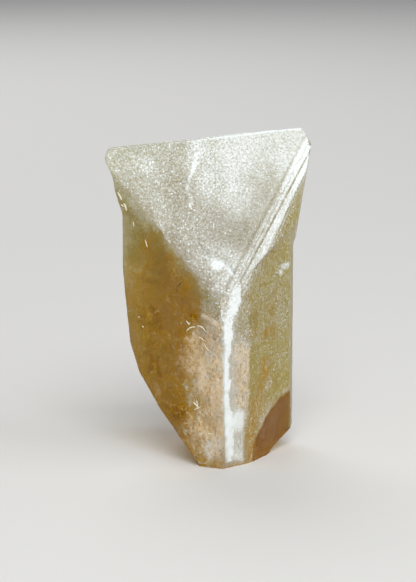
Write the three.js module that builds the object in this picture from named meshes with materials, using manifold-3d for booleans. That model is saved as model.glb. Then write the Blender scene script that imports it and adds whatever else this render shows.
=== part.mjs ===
// Danburite crystal: one stout, honey-coloured prism under a wedge-shaped head, broken off at its foot.
//
// Millimetres, +Z up. The origin is the middle, at the foot, of the box that the crystal fills.
// The sharp prism edge stands at the front, towards -Y, and +X is to its right.
//
// Every flat face is a plane given by three numbers:
//   bearing  degrees round +Z that the face looks to, 0 towards -Y and 90 towards +X
//   lean     degrees that it looks up (negative: down), 0 for an upright face
//   reach    millimetres from the crystal's heart out to the face
import * as THREE from 'three';
import { mergeVertices } from 'three/addons/utils/BufferGeometryUtils.js';
import Module from 'manifold-3d';

const wasm = await Module();
wasm.setup();

// ---------------------------------------------------------------- driving dimensions

// The heart is the point that every reach is measured from, half way up the crystal.
const heart = new THREE.Vector3(0.01, 0.86, 25);

// Faces that the prism and the head have in common.
const leftPrism = { bearing: -25, lean: 0, reach: 10.06 };
const rightPrism = { bearing: 50, lean: 0, reach: 10.33 };
const rightBackPrism = { bearing: 155, lean: 0, reach: 9.57 };
const leftBackPrism = { bearing: -130, lean: 0, reach: 6.84 };
const frontDome = { bearing: 9.1, lean: 29.2, reach: 11.12 };
const backDome = { bearing: -166.4, lean: 32.9, reach: 13.98 };
const ridgeStrip = { bearing: -1.4, lean: 68.7, reach: 21.9 };
const innerBand = { bearing: 21.3, lean: 21.9, reach: 11.39 };
const outerBand = { bearing: 27.5, lean: 17.4, reach: 11.45 };
const apexFacet = { bearing: 29.1, lean: 5.9, reach: 11.23 };

// The rim of the foot is worn back in four low bevels, which leave a four-cornered flat to stand on.
//   away  millimetres, at the foot, from below the heart out to where the bevel starts
//   rise  degrees that it climbs from there
const footBevels = [
  { bearing: -102.1, away: 2.4, rise: 6 },
  { bearing: -70.7, away: 2, rise: 3.3 },
  { bearing: 124.1, away: 5.21, rise: 2.3 },
  { bearing: 47.2, away: 9.43, rise: 10 },
].map(({ bearing, away, rise }) => {
  const slope = THREE.MathUtils.degToRad(rise);
  return { bearing, lean: rise - 90, reach: away * Math.sin(slope) + heart.z * Math.cos(slope) };
});

// Faces of the prism alone: its blunted edges and the breaks round its foot.
const prismFaces = [
  leftPrism, rightPrism, rightBackPrism, leftBackPrism, frontDome, backDome, ridgeStrip,
  innerBand, outerBand, apexFacet,
  { bearing: 38, lean: 0, reach: 11.18 },       // narrow strip that blunts the front edge
  { bearing: 46, lean: 0, reach: 10.49 },       // growth face between that strip and the right face
  { bearing: 84, lean: 0, reach: 12.73 },       // side strip on the right
  { bearing: -110, lean: -5.5, reach: 10.15 },  // the left flank draws in, in four breaks ...
  { bearing: -99, lean: -18.2, reach: 12.69 },
  { bearing: -91, lean: -30.6, reach: 14.86 },
  { bearing: -84.5, lean: -35.1, reach: 16.34 }, // ... down to the foot
  { bearing: 92.9, lean: -53.7, reach: 25.49 }, // break under the chip on the right
  { bearing: 38, lean: -29.1, reach: 21.46 },   // bruised lower end of the front edge
  { bearing: 0, lean: -90, reach: 25 },         // the flat break that it stands on
  ...footBevels,
];

// Faces of the head, which stands proud of the prism on the left and on the right.
const headRight = { bearing: 50, lean: 0, reach: 10.88 };
const headFaces = [
  leftPrism, headRight, rightBackPrism, frontDome, backDome, ridgeStrip,
  innerBand, outerBand, apexFacet,
  { bearing: -108, lean: -20.4, reach: 5.73 },  // left flank, hanging outwards
  { bearing: 84, lean: -9.2, reach: 11.63 },    // right flank, hanging outwards
  { bearing: -130, lean: -12.4, reach: 5.6 },   // left back, hanging outwards
  { bearing: -84.9, lean: 32.2, reach: 24.9 },  // blunted left end of the ridge
  { bearing: 82.8, lean: 36.8, reach: 26.13 },  // blunted right end of the ridge
  { bearing: 66.2, lean: -30.6, reach: 5.49 },  // slanting ledge where the head ends on the right
  { bearing: 0, lean: -90, reach: 1 },          // its lower end, buried in the prism
];

// Grooves cut along a face, side by side with the line where it meets another face.
const bandGrooves = [
  { face: innerBand, beside: outerBand, away: 0, depth: 0.3 },
  { face: innerBand, beside: frontDome, away: 0.55, depth: 0.1 },
  { face: innerBand, beside: frontDome, away: 0, depth: 0.12 },
];
const prismStriae = [
  { face: rightPrism, beside: outerBand, away: 0.45, depth: 0.14 },
  { face: rightPrism, beside: outerBand, away: 0.95, depth: 0.08 },
];
const headStriae = [
  { face: headRight, beside: outerBand, away: 0.4, depth: 0.14 },
  { face: headRight, beside: outerBand, away: 0.85, depth: 0.08 },
];

// Terraces: growth layers that stop short of an edge, on the faces at the back.
const backTerraces = [
  { face: rightBackPrism, beside: leftBackPrism, width: 5.4, depth: 0.3 },
  { face: rightBackPrism, beside: leftBackPrism, width: 3.1, depth: 0.55 },
  { face: rightBackPrism, beside: rightPrism, width: 4.2, depth: 0.35 },
  { face: backDome, beside: rightBackPrism, width: 3.4, depth: 0.25 },
  { face: backDome, beside: rightBackPrism, width: 6.8, depth: 0.12 },
];

// The lowest growth layer on the front dome ends in a lobed step. Its edge runs through these points,
// measured across and up the dome from its lowest corner; below the edge the dome lies deeper.
// The corner, as all points here, is given from the heart.
const lobeDepth = 0.25;
const lobeEdge = [
  [-10.5, 9.9], [-6.0, 9.3], [-3.7, 8.8], [-2.3, 8.1], [-0.9, 6.0], [-0.3, 5.4], [1.3, 5.0], [2.7, 3.4], [4.6, 2.0],
];
const domeCorner = new THREE.Vector3(1.65, -11.88, 2.28);

// Shell-shaped breaks: balls that bite into the crystal from outside.
const chipByTheFoot = { at: [11.83, -3.28, -21.05], bearing: 55.5, lean: -6.9, radius: 38, bite: 1.5, detail: 14 };
const scoopInLeftFlank = { at: [-14.82, -3.93, 17.3], bearing: -96, lean: -8, radius: 6.5, bite: 0.55, detail: 5 };
const nickInRidge = { at: [-2.22, 0.87, 24], bearing: 5, lean: 62, radius: 0.9, bite: 0.55, detail: 1 };

// Small pits, each a shallow bite out of the named face: across it and up from the heart.
const pits = [
  { face: leftPrism, across: -5.2, up: -2.4, radius: 0.8, bite: 0.22 },
  { face: leftPrism, across: -6.1, up: -3.6, radius: 0.6, bite: 0.18 },
  { face: leftPrism, across: -4.7, up: -15.2, radius: 0.7, bite: 0.2 },
  { face: leftPrism, across: -3.2, up: -19.4, radius: 0.6, bite: 0.18 },
  { face: rightPrism, across: 4.6, up: 6.6, radius: 0.9, bite: 0.22 },
];

// ---------------------------------------------------------------- geometry

// Longer than the crystal in every direction.
const blockSize = 160;

const right = new THREE.Vector3(1, 0, 0);
const up = new THREE.Vector3(0, 0, 1);

function outward({ bearing, lean }) {
  const turn = THREE.MathUtils.degToRad(bearing);
  const tilt = THREE.MathUtils.degToRad(lean);
  return new THREE.Vector3(Math.cos(tilt) * Math.sin(turn), -Math.cos(tilt) * Math.cos(turn), Math.sin(tilt));
}

// How far the face's plane lies from the origin, along its outward direction.
function distanceOf(face) {
  return outward(face).dot(heart) + face.reach;
}

function solidOf(geometry) {
  const bare = geometry.clone();
  bare.deleteAttribute('normal');
  bare.deleteAttribute('uv');
  const merged = mergeVertices(bare, 1e-4);
  const vertProperties = new Float32Array(merged.attributes.position.array);
  const triVerts = new Uint32Array(merged.index.array);
  return new wasm.Manifold(new wasm.Mesh({ numProp: 3, vertProperties, triVerts }));
}

function geometryOf(solid) {
  const mesh = solid.getMesh();
  const geometry = new THREE.BufferGeometry();
  geometry.setAttribute('position', new THREE.BufferAttribute(mesh.vertProperties, 3));
  geometry.setIndex(new THREE.BufferAttribute(mesh.triVerts, 1));
  const flatFaced = geometry.toNonIndexed();
  flatFaced.computeVertexNormals();
  return flatFaced;
}

// A box whose own x, y and z lie along the three given directions, with its middle at centre.
function boxAlong(width, depth, length, x, y, z, centre) {
  const box = new THREE.BoxGeometry(width, depth, length);
  box.applyMatrix4(new THREE.Matrix4().makeBasis(x, y, z).setPosition(centre));
  return solidOf(box);
}

// Two directions that lie in the face: across it, level, and up it.
function directionsIn(face) {
  const normal = outward(face);
  const across = new THREE.Vector3().crossVectors(up, normal).normalize();
  return { normal, across, upward: new THREE.Vector3().crossVectors(normal, across) };
}

// Everything beyond the face's plane.
function beyond(face) {
  const normal = outward(face);
  const sideways = Math.abs(normal.z) > 0.9 ? right : up;
  const x = new THREE.Vector3().crossVectors(sideways, normal).normalize();
  const y = new THREE.Vector3().crossVectors(normal, x);
  const centre = heart.clone().addScaledVector(normal, face.reach + blockSize / 2);
  return boxAlong(blockSize, blockSize, blockSize, x, y, normal, centre);
}

// The line where two faces meet: its direction, a point on it, and the way from it across the first face.
function meetingLine(face, beside) {
  const a = outward(face);
  const b = outward(beside);
  const along = new THREE.Vector3().crossVectors(a, b).normalize();
  const [da, db, cos] = [distanceOf(face), distanceOf(beside), a.dot(b)];
  const scale = 1 / (1 - cos * cos);
  const point = a.clone().multiplyScalar((da - db * cos) * scale).addScaledVector(b, (db - da * cos) * scale);
  point.addScaledVector(along, along.dot(heart) - along.dot(point));
  const inward = new THREE.Vector3().crossVectors(along, a).normalize();
  if (inward.dot(b) > 0) inward.negate();
  return { along, point, inward, normal: a };
}

// A V-shaped groove in a face, parallel to its meeting line with another and a given way from it.
function groove({ face, beside, away, depth }) {
  const { along, point, inward, normal } = meetingLine(face, beside);
  const side = 4 * depth;
  const x = normal.clone().add(inward).normalize();
  const y = new THREE.Vector3().crossVectors(along, x);
  const centre = point.clone().addScaledVector(inward, away).addScaledVector(normal, side / Math.SQRT2 - depth);
  return boxAlong(side, side, blockSize, x, y, along, centre);
}

// The layer that a terrace lacks: a slab of the face, as wide as given from its meeting line with another.
function missingLayer({ face, beside, width, depth }) {
  const { point, inward, normal } = meetingLine(face, beside);
  const y = new THREE.Vector3().crossVectors(normal, inward);
  const centre = point.clone()
    .addScaledVector(inward, width - blockSize / 2)
    .addScaledVector(normal, blockSize / 2 - depth);
  return boxAlong(blockSize, blockSize, blockSize, inward, y, normal, centre);
}

// What lies over the deeper part of the front dome, below its lobed step.
function lobeLayer() {
  const { normal, across, upward } = directionsIn(frontDome);
  const outline = [...lobeEdge, [lobeEdge.at(-1)[0], -6], [lobeEdge[0][0], -6]];
  const shape = new THREE.Shape(outline.map(([x, y]) => new THREE.Vector2(x, y)));
  const layer = new THREE.ExtrudeGeometry(shape, { depth: 4, bevelEnabled: false });
  const base = domeCorner.clone().add(heart);
  base.addScaledVector(normal, distanceOf(frontDome) - normal.dot(base) - lobeDepth);
  layer.applyMatrix4(new THREE.Matrix4().makeBasis(across, upward, normal).setPosition(base));
  return solidOf(layer);
}

// A ball that bites as deep as given into the crystal, with its middle outside, straight out from a point.
function ball(point, normal, { radius, bite, detail = 1 }) {
  const geometry = new THREE.IcosahedronGeometry(radius, detail);
  const centre = point.clone().addScaledVector(normal, radius - bite);
  geometry.translate(centre.x, centre.y, centre.z);
  return solidOf(geometry);
}

function shellBreak(bite) {
  return ball(new THREE.Vector3(...bite.at).add(heart), outward(bite), bite);
}

function pit(spec) {
  const { normal, across } = directionsIn(spec.face);
  const point = heart.clone()
    .addScaledVector(normal, spec.face.reach)
    .addScaledVector(across, spec.across)
    .addScaledVector(up, spec.up);
  return ball(point, normal, spec);
}

// A block with everything beyond the given faces taken off, and then the given cuts.
function cutBlock(faces, cuts) {
  const block = new THREE.BoxGeometry(blockSize / 2, blockSize / 2, blockSize);
  const removed = [...faces.map(beyond), ...cuts];
  return removed.reduce((solid, cut) => solid.subtract(cut), solidOf(block));
}

function crystalGeometry() {
  const prism = cutBlock(prismFaces, prismStriae.map(groove));
  const head = cutBlock(headFaces, headStriae.map(groove));
  const details = [
    ...bandGrooves.map(groove),
    ...backTerraces.map(missingLayer),
    lobeLayer(),
    ...[chipByTheFoot, scoopInLeftFlank, nickInRidge].map(shellBreak),
    ...pits.map(pit),
  ];
  return geometryOf(details.reduce((solid, cut) => solid.subtract(cut), prism.add(head)));
}

// ---------------------------------------------------------------- the part

const honey = new THREE.MeshStandardMaterial({ color: 0xa8905a, roughness: 0.35, metalness: 0 });

const crystal = new THREE.Mesh(crystalGeometry(), honey);
crystal.name = 'danburite_crystal';

const part = new THREE.Group();
part.add(crystal);

export default part;
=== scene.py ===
"""A honey-coloured danburite crystal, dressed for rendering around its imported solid."""
import math

import bpy
import numpy as np
from bpy.props import FloatProperty, FloatVectorProperty, PointerProperty
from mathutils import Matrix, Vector


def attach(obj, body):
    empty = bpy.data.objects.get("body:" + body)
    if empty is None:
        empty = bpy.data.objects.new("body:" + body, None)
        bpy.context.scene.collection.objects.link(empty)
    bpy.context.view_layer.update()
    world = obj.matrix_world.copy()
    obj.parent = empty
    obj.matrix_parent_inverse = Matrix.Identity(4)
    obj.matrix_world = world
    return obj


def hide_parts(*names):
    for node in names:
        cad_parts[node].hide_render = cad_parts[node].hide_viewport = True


bl_info = {
    "name": "Danburite Crystal",
    "version": (1, 0, 0),
    "blender": (4, 5, 0),
    "location": "View3D > Sidebar > Crystal",
    "description": "Builds a frosted, partly see-through danburite crystal and its stage",
    "category": "Add Mesh",
}

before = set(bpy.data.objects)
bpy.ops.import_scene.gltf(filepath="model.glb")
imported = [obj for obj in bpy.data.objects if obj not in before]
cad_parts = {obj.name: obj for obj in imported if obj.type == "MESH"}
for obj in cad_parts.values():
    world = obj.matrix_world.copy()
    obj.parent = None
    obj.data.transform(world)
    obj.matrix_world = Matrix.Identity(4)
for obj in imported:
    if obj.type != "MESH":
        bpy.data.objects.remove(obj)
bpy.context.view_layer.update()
NODE = "danburite_crystal"
BODY = "root"
MM = 0.001


# ------------------------------------------------------------------ the crystal's faces

# The point that every reach is measured from, in millimetres, half way up the crystal.
HEART = np.array([0.01, 0.86, 25.0])

# Each face is a plane: its bearing round +Z in degrees (0 looks to -Y, 90 to +X), how far it leans up,
# and its reach from the heart in millimetres.
FACES = {
    "left": (-25.0, 0.0, 10.06),
    "right": (50.0, 0.0, 10.33),
    "right_back": (155.0, 0.0, 9.57),
    "left_back": (-130.0, 0.0, 6.84),
    "dome": (9.1, 29.2, 11.12),
    "back_dome": (-166.4, 32.9, 13.98),
    "ridge": (-1.4, 68.7, 21.9),
    "inner_band": (21.3, 21.9, 11.39),
    "outer_band": (27.5, 17.4, 11.45),
    "apex": (29.1, 5.9, 11.23),
    "front_strip": (38.0, 0.0, 11.18),
    "growth_face": (46.0, 0.0, 10.49),
    "side_strip": (84.0, 0.0, 12.73),
    "flank_1": (-110.0, -5.5, 10.15),
    "flank_2": (-99.0, -18.2, 12.69),
    "flank_3": (-91.0, -30.6, 14.86),
    "flank_4": (-84.5, -35.1, 16.34),
    "under_chip": (92.9, -53.7, 25.49),
    "bruise": (38.0, -29.1, 21.46),
    "foot": (0.0, -90.0, 25.0),
    "head_right": (50.0, 0.0, 10.88),
    "head_left_flank": (-108.0, -20.4, 5.73),
    "head_right_flank": (84.0, -9.2, 11.63),
    "head_left_back": (-130.0, -12.4, 5.6),
    "left_end": (-84.9, 32.2, 24.9),
    "right_end": (82.8, 36.8, 26.13),
    "ledge": (66.2, -30.6, 5.49),
    "head_foot": (0.0, -90.0, 1.0),
    "chip": (57.1, -7.7, 13.29),
}
# The crystal is the block that the shared faces bound, with the prism's own faces or the head's inside it.
SHARED = ["left", "right_back", "dome", "back_dome", "ridge", "inner_band", "outer_band", "apex"]
PRISM = ["right", "left_back", "front_strip", "growth_face", "side_strip", "flank_1", "flank_2",
         "flank_3", "flank_4", "under_chip", "bruise", "foot"]
HEAD = ["head_right", "head_left_flank", "head_right_flank", "head_left_back", "left_end",
        "right_end", "ledge", "head_foot"]

# Shell-shaped breaks: middle of each from the heart, the way out, ball radius and depth of the bite.
SHELL_BREAKS = {
    "chip_by_foot": ((11.83, -3.28, -21.05), (55.5, -6.9), 38.0, 1.5),
    "left_scoop": ((-14.82, -3.93, 17.3), (-96.0, -8.0), 6.5, 0.55),
    "ridge_nick": ((-2.22, 0.87, 24.0), (5.0, 62.0), 0.9, 0.55),
}

PASSES = 6             # how often a point is stepped towards the crystal's surface
EDGE_WEAR = 0.035      # how round the edges are worn, in millimetres
HEAD_FILLET = 0.22     # how soft the inside corner is where the head stands on the prism


def outward(bearing, lean):
    """Unit vector that looks to a bearing round +Z, from -Y, and leans up by an angle, both in degrees."""
    turn, tilt = math.radians(bearing), math.radians(lean)
    return np.array([math.cos(tilt) * math.sin(turn), -math.cos(tilt) * math.cos(turn), math.sin(tilt)])


NORMAL = {name: outward(bearing, lean) for name, (bearing, lean, _) in FACES.items()}
LEVEL = {name: float(NORMAL[name] @ HEART) + FACES[name][2] for name in FACES}


def corner(*names):
    """The point that three faces share."""
    return np.linalg.solve(np.array([NORMAL[n] for n in names]), np.array([LEVEL[n] for n in names]))


def face_axes(name):
    """Unit vectors in a face: across it, level and to the viewer's right, and up it."""
    across = np.cross((0.0, 0.0, 1.0), NORMAL[name])
    across /= np.linalg.norm(across)
    return across, np.cross(NORMAL[name], across)


def on_face(points, name):
    """Where points lie on a face, from the heart: across it and up it."""
    across, upward = face_axes(name)
    place = points - HEART
    return place @ across, place @ upward


def way_from(points, face, beside):
    """How far points on a face are from the line where another face meets it: the distance to the other
    face's plane divided by the sine of the angle between the two."""
    sine = np.linalg.norm(np.cross(NORMAL[face], NORMAL[beside]))
    return (LEVEL[beside] - points @ NORMAL[beside]) / sine


def border(first, second):
    """The plane half way between two faces: its direction and its level. Past it lies the second face."""
    apart = NORMAL[second] - NORMAL[first]
    length = float(np.linalg.norm(apart))
    return apart / length, (LEVEL[second] - LEVEL[first]) / length


# ------------------------------------------------------------------ noise

def smooth(value, low, high):
    """0 at low, 1 at high, and an S-curve between; it falls instead where low is above high."""
    part = np.clip((value - low) / (high - low), 0, 1)
    return part * part * (3 - 2 * part)


def hashed(cell, seed):
    """A number from 0 to 1 for each whole-number cell, from the cell's mixed bits."""
    bits = cell.astype(np.int64).astype(np.uint32)
    mixed = bits[..., 0] * np.uint32(374761393) + bits[..., 1] * np.uint32(668265263)
    mixed = mixed + bits[..., 2] * np.uint32(2246822519) + np.uint32(seed * 3266489917 % 2**32)
    mixed = (mixed ^ (mixed >> np.uint32(13))) * np.uint32(1274126177)
    mixed = (mixed ^ (mixed >> np.uint32(16))) * np.uint32(2654435761)
    return ((mixed ^ (mixed >> np.uint32(15))) & np.uint32(0xFFFFFF)).astype(float) / 0xFFFFFF


def noise(points, size, seed):
    """Smooth noise from -1 to 1: each cell corner's number, blended with an S-curve along x, y and z."""
    place = points / size + 1000.0
    cell = np.floor(place)
    part = place - cell
    part = part * part * (3 - 2 * part)
    total = 0.0
    for step in np.ndindex(2, 2, 2):
        weight = np.prod(np.where(step, part, 1 - part), axis=-1)
        total = total + weight * hashed(cell + step, seed)
    return total * 2 - 1


def cloudy(points, size, seed, octaves=3):
    """Noise added to itself at half the size and half the height, again and again."""
    return sum(noise(points, size / 2**k, seed + k) / 2**k for k in range(octaves)) / (2 - 0.5**(octaves - 1))


# ------------------------------------------------------------------ relief of the faces

# Every relief gives how deep a face lies below its plane, in millimetres, so the crystal never grows.

# Edge of the lowest growth layer on the front dome: across the dome and up it from its lowest corner.
DOME_CORNER = (1.65, -11.88, 2.28)
LOBE_EDGE = ((-10.5, 9.9), (-6.0, 9.3), (-3.7, 8.8), (-2.3, 8.1), (-0.9, 6.0), (-0.3, 5.4), (1.3, 5.0),
             (2.7, 3.4), (4.6, 2.0))
LOBE_DEPTH = 0.25


def groove(way, at, depth):
    """A V-shaped groove along a line: as deep as given where the way from it is at, rising at 45 degrees."""
    return np.maximum(depth - np.abs(way - at), 0)


def above_lobe(points):
    """How far above the edge of the lowest growth layer points on the dome lie, up the dome."""
    across, up = on_face(points, "dome")
    across_corner, up_corner = on_face(HEART + np.array(DOME_CORNER), "dome")
    edge = np.interp(across - across_corner, *np.array(LOBE_EDGE).T)
    return up - up_corner - edge - 0.25 * noise(points, 0.9, 31)


def dome_relief(points):
    """A lobed step, a groove beside the band, dimples, and slight waves."""
    step = LOBE_DEPTH * smooth(above_lobe(points), 0.26, -0.26)
    waves = 0.05 * (1 + cloudy(points, 3.5, 11)) + 0.018 * (1 + noise(points, 0.6, 17))
    return step + waves + groove(way_from(points, "dome", "inner_band"), 0, 0.12)


def inner_band_relief(points):
    """The deep groove beside the outer band, two shallow ones beside the dome, and fine steps between."""
    outer = way_from(points, "inner_band", "outer_band")
    inner = way_from(points, "inner_band", "dome")
    lines = groove(outer, 0, 0.3) + groove(inner, 0.55, 0.1) + groove(inner, 0, 0.12)
    return lines + 0.02 * (1 + noise(points, 0.5, 23)) + 0.02 * (1 + np.sin(inner * 17))


def outer_band_relief(points):
    """The other side of the deep groove, and a shallow groove half way across."""
    way = way_from(points, "outer_band", "inner_band")
    return groove(way, 0, 0.3) + groove(way, 0.6, 0.07) + 0.02 * (1 + noise(points, 0.5, 29))


def striae(points, face):
    """Fine grooves side by side with the outer band, each shallower than the last."""
    way = way_from(points, face, "outer_band") + 0.05 * noise(points, 2.0, 37)
    lines = ((0.42, 0.13), (0.92, 0.08), (1.45, 0.05), (2.0, 0.03))
    return sum(groove(way, at, depth) for at, depth in lines)


def right_relief(face):
    """Fine grooves beside the outer band, and waves that run up and down."""
    def relief(points):
        tall = points * (1, 1, 0.15)
        return striae(points, face) + 0.03 * (1 + cloudy(tall, 1.6, 41)) + 0.01 * (1 + noise(points, 0.5, 43))
    return relief


def left_relief(points):
    """Waves that run up and down, dimples, and shallow shell-like ripples round two old knocks."""
    tall = points * (1, 1, 0.35)
    across, up = on_face(points, "left")
    knocks = 0.0
    for at_across, at_up, reach in ((1.6, -3.0, 3.0), (3.2, -16.8, 4.0)):
        away = np.hypot(across - at_across, (up - at_up) * 0.6) + 0.8 * noise(points, 1.6, 53)
        knocks = knocks + 0.17 * (1 + cloudy(points * (1, 1, 0.6), 1.1, 57)) * smooth(away, reach, 0.4)
    return knocks + 0.05 * (1 + cloudy(tall, 2.6, 47)) + 0.01 * (1 + noise(points, 0.55, 59))


def strip_relief(points):
    """Wear that nibbles at the blunted front edge."""
    return 0.05 * (1 + cloudy(points * (1, 1, 0.5), 1.1, 61)) + 0.02 * (1 + noise(points, 0.35, 67))


def break_relief(points):
    """Low hackly waves of a broken face."""
    return 0.09 * (1 + cloudy(points, 2.2, 71)) + 0.02 * (1 + noise(points, 0.6, 73))


def upright_relief(points):
    """Slight waves that run up and down."""
    return 0.03 * (1 + cloudy(points * (1, 1, 0.2), 1.8, 83))


def terraces(points, face, steps):
    """Growth layers that stop short of an edge: each step lowers the face within its width of the edge."""
    deepest = 0.0
    for beside, width, depth in steps:
        way = way_from(points, face, beside) + 0.12 * noise(points, 1.8, 79)
        deepest = np.maximum(deepest, depth * smooth(way, width + 0.16, width - 0.16))
    return deepest


def right_back_relief(points):
    """Terraces on both sides, and waves that run up and down."""
    steps = (("left_back", 5.4, 0.3), ("left_back", 3.1, 0.55), ("right", 4.2, 0.35))
    return terraces(points, "right_back", steps) + upright_relief(points)


def back_dome_relief(points):
    """Terraces beside the right back face, and slight waves."""
    steps = (("right_back", 3.4, 0.25), ("right_back", 6.8, 0.12))
    return terraces(points, "back_dome", steps) + 0.04 * (1 + cloudy(points, 3.0, 89))


RELIEF = {
    "dome": dome_relief, "inner_band": inner_band_relief, "outer_band": outer_band_relief,
    "right": right_relief("right"), "head_right": right_relief("head_right"),
    "growth_face": right_relief("growth_face"), "left": left_relief, "front_strip": strip_relief,
    "apex": strip_relief, "ridge": strip_relief, "side_strip": strip_relief, "left_back": upright_relief,
    "right_back": right_back_relief, "back_dome": back_dome_relief,
    "flank_1": break_relief, "flank_2": break_relief, "flank_3": break_relief, "flank_4": break_relief,
    "under_chip": upright_relief, "bruise": break_relief, "head_left_flank": break_relief,
    "head_left_back": break_relief,
}
RELIEF_REACH = 1.0     # a face's relief is worked out for points this near to its plane, in millimetres


def beyond_faces(points, names):
    """How far points lie beyond each named face, its relief counted, one column a face."""
    beyond = points @ np.array([NORMAL[n] for n in names]).T - np.array([LEVEL[n] for n in names])
    for column, name in enumerate(names):
        near = beyond[:, column] > -RELIEF_REACH
        if name in RELIEF and near.any():
            beyond[near, column] += RELIEF[name](points[near])
    return beyond


def softly_largest(values, ways, softness):
    """Soft maximum of several distances, and the way out there: the largest plus softness times the
    logarithm of the summed exponentials of how far each falls short of it, over softness."""
    top = values.max(axis=1)
    weight = np.exp((values - top[:, None]) / softness)
    total = weight.sum(axis=1)
    return top + softness * np.log(total), np.einsum("pf,pfk->pk", weight, ways) / total[:, None]


def into_break(name, points):
    """How far points lie inside the ball that bites a shell-shaped break, and the way to its middle: the
    ball's radius less the distance to its middle, and slow waves."""
    place, way_out, radius, bite = SHELL_BREAKS[name]
    to_middle = HEART + np.array(place) + outward(*way_out) * (radius - bite) - points
    away = np.linalg.norm(to_middle, axis=1)
    waves = bite * 0.12 * (1 + cloudy(points, 3.4, 139, 2))
    return radius - away + waves, to_middle / np.maximum(away, 1e-9)[:, None]


def beyond_crystal(points):
    """Signed distance to the worn crystal, and the way out there. The prism and the head are joined by a
    soft minimum: the smaller, less a parabola where the two are within a fillet of each other. Shared faces
    and shell-shaped breaks then cut in by a soft maximum."""
    distances, ways = [], []
    for names in (PRISM, HEAD):
        normals = np.broadcast_to([NORMAL[n] for n in names], (len(points), len(names), 3))
        distance, way = softly_largest(beyond_faces(points, names), normals, EDGE_WEAR)
        distances.append(distance)
        ways.append(way)
    lead = (distances[1] - distances[0]) / HEAD_FILLET
    fillet = np.maximum(1 - np.abs(lead), 0)
    joined = np.minimum(*distances) - fillet**2 * HEAD_FILLET / 4
    share = np.clip(0.5 + 0.5 * lead, 0, 1)[:, None]
    shared = beyond_faces(points, SHARED)
    values, directions = [joined], [ways[0] * share + ways[1] * (1 - share)]
    for column, name in enumerate(SHARED):
        values.append(shared[:, column])
        directions.append(np.broadcast_to(NORMAL[name], points.shape))
    for name in SHELL_BREAKS:
        inside, way_in = into_break(name, points)
        values.append(inside)
        directions.append(way_in)
    return softly_largest(np.stack(values, axis=1), np.stack(directions, axis=1), EDGE_WEAR)


def onto_crystal(points, passes, level=False):
    """Brings points to the crystal's surface, step by step against the way out; level points keep their z."""
    shape = points.shape
    points = points.reshape(-1, 3)
    for _ in range(passes):
        distance, way = beyond_crystal(points)
        if level:
            way = way * (1, 1, 0)
        length = np.maximum((way * way).sum(axis=1), 0.2)
        points = points - (distance / length)[:, None] * way
    return points.reshape(shape)


# ------------------------------------------------------------------ the net over the crystal

# A point's height in the net: it is z at the foot and runs parallel with the sloping ridge at the top.
RIDGE_SLOPE = 0.001688


def net_height(points):
    """Height over the foot divided by how much higher the ridge is above that x than above x = 0."""
    return points[..., 2] / (1 + RIDGE_SLOPE * points[..., 0])


# The crystal's upright edges from foot to ridge, as the corners that each runs through, in order round the
# crystal: front left, front, dome and bands, right, back and left. Edges share corners where a face ends.
LEFT_END = ("ridge", "left_end", "back_dome")
RIGHT_END = ("ridge", "right_end", "back_dome")
STRIP_FOOT = [("foot", "bruise", "growth_face"), ("bruise", "front_strip", "growth_face"),
              ("front_strip", "growth_face", "apex")]
DOME_END = [("dome", "right_end", "ridge"), RIGHT_END]
BAND_END = [("inner_band", "outer_band", "head_right_flank"), ("inner_band", "head_right_flank", "right_end"),
            *DOME_END]
RIGHT_RIM = [("outer_band", "head_right", "head_right_flank"), *BAND_END]
BAND_LEDGE = [("outer_band", "growth_face", "right"), ("outer_band", "head_right", "ledge")]
LEFT_RIM = [("left", "head_left_flank", "dome"), ("dome", "head_left_flank", "left_end"),
            ("dome", "left_end", "ridge"), LEFT_END]
SIDE_BACK = [("under_chip", "side_strip", "right_back"), ("side_strip", "ledge", "right_back"),
             ("head_right_flank", "ledge", "right_back"), ("head_right_flank", "right_end", "right_back"),
             RIGHT_END]
BACK_CORNER = [("foot", "right_back", "left_back"), ("right_back", "left_back", "head_left_back"),
               ("right_back", "head_left_back", "back_dome")]
EDGES = {
    "left": [("foot", "left", "flank_4"), ("left", "flank_4", "flank_3"), ("left", "flank_3", "flank_2"),
             ("left", "flank_2", "flank_1"), ("left", "flank_1", "left_back"),
             ("left", "left_back", "head_left_flank"), *LEFT_RIM],
    "dome_left": [("foot", "left", "bruise"), ("left", "bruise", "front_strip"),
                  ("left", "front_strip", "apex"), ("left", "apex", "dome"), *LEFT_RIM],
    "dome_right": [*STRIP_FOOT, ("dome", "inner_band", "apex"), ("inner_band", "dome", "right_end"),
                   *DOME_END],
    "band_groove": [*STRIP_FOOT, ("inner_band", "outer_band", "apex"), *BAND_END],
    "band_rim": [*STRIP_FOOT, ("outer_band", "apex", "growth_face"), *BAND_LEDGE, *RIGHT_RIM],
    "growth_right": [("foot", "growth_face", "right"), *BAND_LEDGE, *RIGHT_RIM],
    "right": [("foot", "right", "chip"), ("right", "chip", "side_strip"), ("right", "side_strip", "ledge"),
              ("head_right", "head_right_flank", "ledge"), *RIGHT_RIM],
    "chip_low": [("foot", "chip", "under_chip"), ("chip", "under_chip", "side_strip"), *SIDE_BACK],
    "right_back": [("foot", "under_chip", "right_back"), *SIDE_BACK],
    "back_dome_right": [*BACK_CORNER, RIGHT_END],
    "back_dome_left": [*BACK_CORNER, ("head_left_back", "back_dome", "left_end"), LEFT_END],
    "left_back": [("foot", "flank_3", "left_back"), ("flank_3", "flank_2", "left_back"),
                  ("flank_2", "flank_1", "left_back"), ("head_left_flank", "head_left_back", "left_back"),
                  ("head_left_flank", "head_left_back", "left_end"), LEFT_END],
}
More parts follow.
